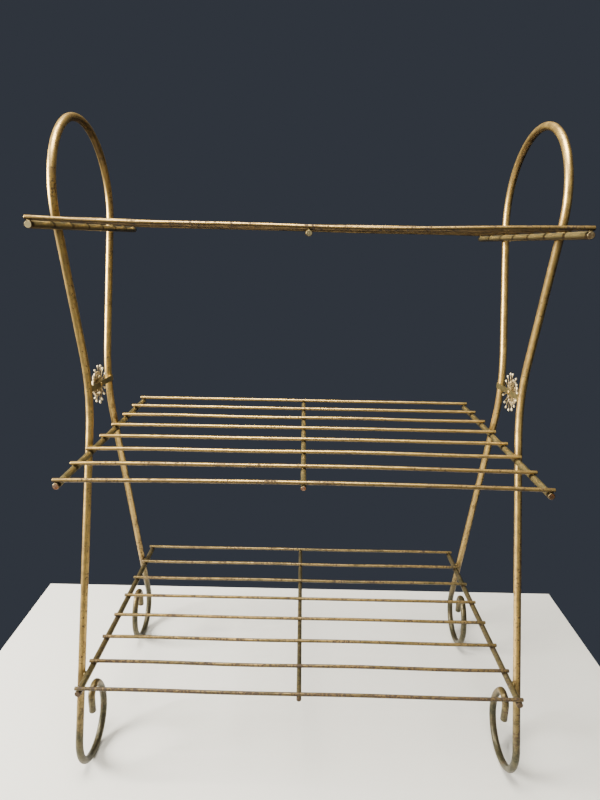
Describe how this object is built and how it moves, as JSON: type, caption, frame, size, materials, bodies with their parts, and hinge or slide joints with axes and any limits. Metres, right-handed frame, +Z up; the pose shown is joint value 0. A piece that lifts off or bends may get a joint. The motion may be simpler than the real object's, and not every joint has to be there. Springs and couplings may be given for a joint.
{
  "type": "magazine rack",
  "caption": "Three-tier open wire stand on two bent-rod side frames with looped tops, pinched waists, scroll feet and flower rosettes.",
  "frame": {"origin": "on the floor, under the middle of the rack", "axes": "+Z up, +X along the shelf wires to the right as seen from the front, +Y to the back, so the front is towards -Y"},
  "size_m": [0.5838, 0.3588, 0.841],
  "materials": {
    "gilt": "antique gold paint, satin, with brown wear",
    "gilt_wire": "antique gold paint, satin, with dark specks",
    "gilt_shadow": "olive-gold paint, satin, with brown wear",
    "pale_gilt": "pale silver-gold paint, satin"
  },
  "bodies": {
    "root": {"side_frame_left": "gilt", "waist_band_left": "gilt_shadow", "rosette_spray_left": "pale_gilt", "rosette_cup_left": "pale_gilt", "rosette_rivet_left": "gilt", "side_frame_right": "gilt", "waist_band_right": "gilt_shadow", "rosette_spray_right": "pale_gilt", "rosette_cup_right": "pale_gilt", "rosette_rivet_right": "gilt", "bottom_shelf_end_rod_left": "gilt_shadow", "bottom_shelf_centre_rod": "gilt_shadow", "bottom_shelf_end_rod_right": "gilt_shadow", "bottom_shelf_wire_1": "gilt_wire", "bottom_shelf_wire_2": "gilt_wire", "bottom_shelf_wire_3": "gilt_wire", "bottom_shelf_wire_4": "gilt_wire", "bottom_shelf_wire_5": "gilt_wire", "bottom_shelf_wire_6": "gilt_wire", "bottom_shelf_wire_7": "gilt_wire", "bottom_shelf_wire_8": "gilt_wire", "middle_shelf_end_rod_left": "gilt_shadow", "middle_shelf_centre_rod": "gilt_shadow", "middle_shelf_end_rod_right": "gilt_shadow", "middle_shelf_wire_1": "gilt_wire", "middle_shelf_wire_2": "gilt_wire", "middle_shelf_wire_3": "gilt_wire", "middle_shelf_wire_4": "gilt_wire", "middle_shelf_wire_5": "gilt_wire", "middle_shelf_wire_6": "gilt_wire", "middle_shelf_wire_7": "gilt_wire", "middle_shelf_wire_8": "gilt_wire", "top_shelf_end_rod_left": "gilt_shadow", "top_shelf_centre_rod": "gilt_shadow", "top_shelf_end_rod_right": "gilt_shadow", "top_shelf_wire_1": "gilt_wire", "top_shelf_wire_2": "gilt_wire", "top_shelf_wire_3": "gilt_wire", "top_shelf_wire_4": "gilt_wire", "top_shelf_wire_5": "gilt_wire", "top_shelf_wire_6": "gilt_wire", "top_shelf_wire_7": "gilt_wire", "top_shelf_wire_8": "gilt_wire"}
  },
  "joints": []
}
